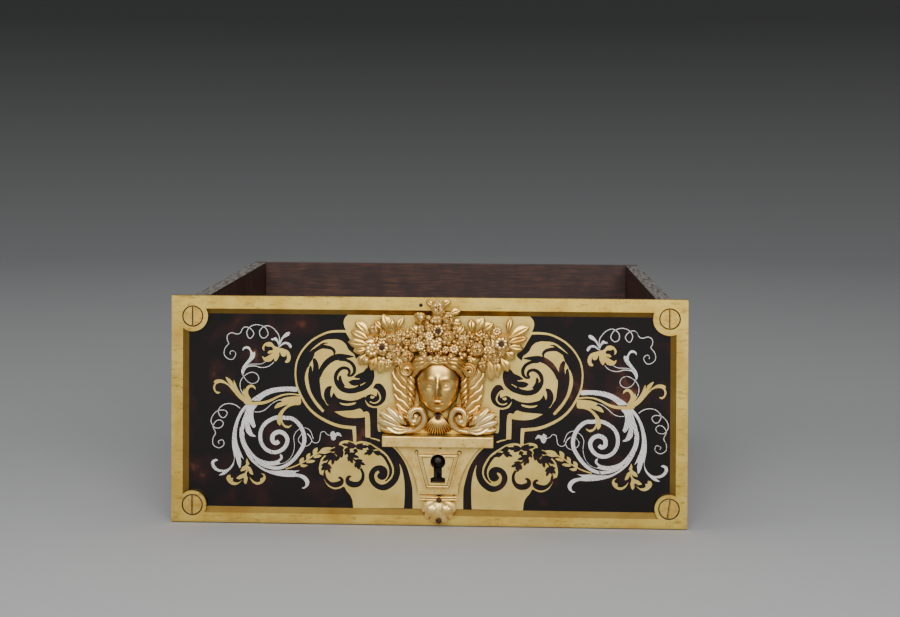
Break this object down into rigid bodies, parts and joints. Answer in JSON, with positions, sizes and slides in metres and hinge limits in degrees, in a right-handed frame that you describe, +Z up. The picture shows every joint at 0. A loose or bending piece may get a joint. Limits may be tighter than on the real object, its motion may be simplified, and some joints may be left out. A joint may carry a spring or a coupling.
{
  "type": "veneered drawer",
  "caption": "Dovetailed wooden drawer with a brass-framed marquetry front, gilt-bronze mask, garland and keyhole mounts, and a lock whose bolt shoots down.",
  "frame": {"origin": "middle of the bounding box, on the floor under the drawer", "axes": "+X to the right as the front is seen, +Y from the front to the back, +Z up"},
  "size_m": [0.421, 0.404, 0.186],
  "materials": {
    "frame_brass": "worn satin",
    "inlay_brass": "satin sheet",
    "pewter": "satin sheet",
    "tortoiseshell": "polished",
    "gilt_bronze": "chased and fire gilt",
    "dark_walnut": "dark waxed",
    "iron": "dark forged",
    "dark_pin": "tarnished"
  },
  "bodies": {
    "drawer": {"front_frame": "frame_brass", "frame_screw_bottom_left": "frame_brass", "frame_screw_bottom_right": "frame_brass", "frame_screw_top_left": "frame_brass", "frame_screw_top_right": "frame_brass", "brass_field": "inlay_brass", "brass_strap_left": "inlay_brass", "brass_strap_right": "inlay_brass", "brass_panel_left": "inlay_brass", "brass_panel_right": "inlay_brass", "pewter_scroll_left": "pewter", "pewter_scroll_right": "pewter", "tortoiseshell_ground": "tortoiseshell", "mask_casting": "gilt_bronze", "garland_casting": "gilt_bronze", "mask_plinth": "gilt_bronze", "escutcheon_plate": "gilt_bronze", "apron_drop": "gilt_bronze", "front_board": "dark_walnut", "left_side": "dark_walnut", "right_side": "dark_walnut", "back_board": "dark_walnut", "bottom_board": "dark_walnut", "bottom_nail_left": "iron", "bottom_nail_middle": "iron", "bottom_nail_right": "iron", "lock_plate": "iron", "lock_case": "iron", "lock_spring": "iron", "lock_drill_pin": "iron", "lock_guide_pin": "iron", "lock_screw_lower_left": "iron", "lock_screw_lower_right": "iron", "lock_screw_upper_left": "iron", "lock_screw_upper_right": "iron", "garland_pin_left": "dark_pin", "garland_pin_right": "dark_pin", "garland_pin_top": "dark_pin", "mask_pin": "dark_pin", "escutcheon_pin_left": "dark_pin", "escutcheon_pin_right": "dark_pin", "drop_pin_upper": "dark_pin", "drop_pin_lower": "dark_pin"},
    "bolt": {"lock_bolt": "iron"}
  },
  "joints": [
    {"name": "bolt_throw", "type": "slide", "parent": "drawer", "child": "bolt", "axis": [0, 0, -1], "range_m": [0, 0.008]}
  ]
}
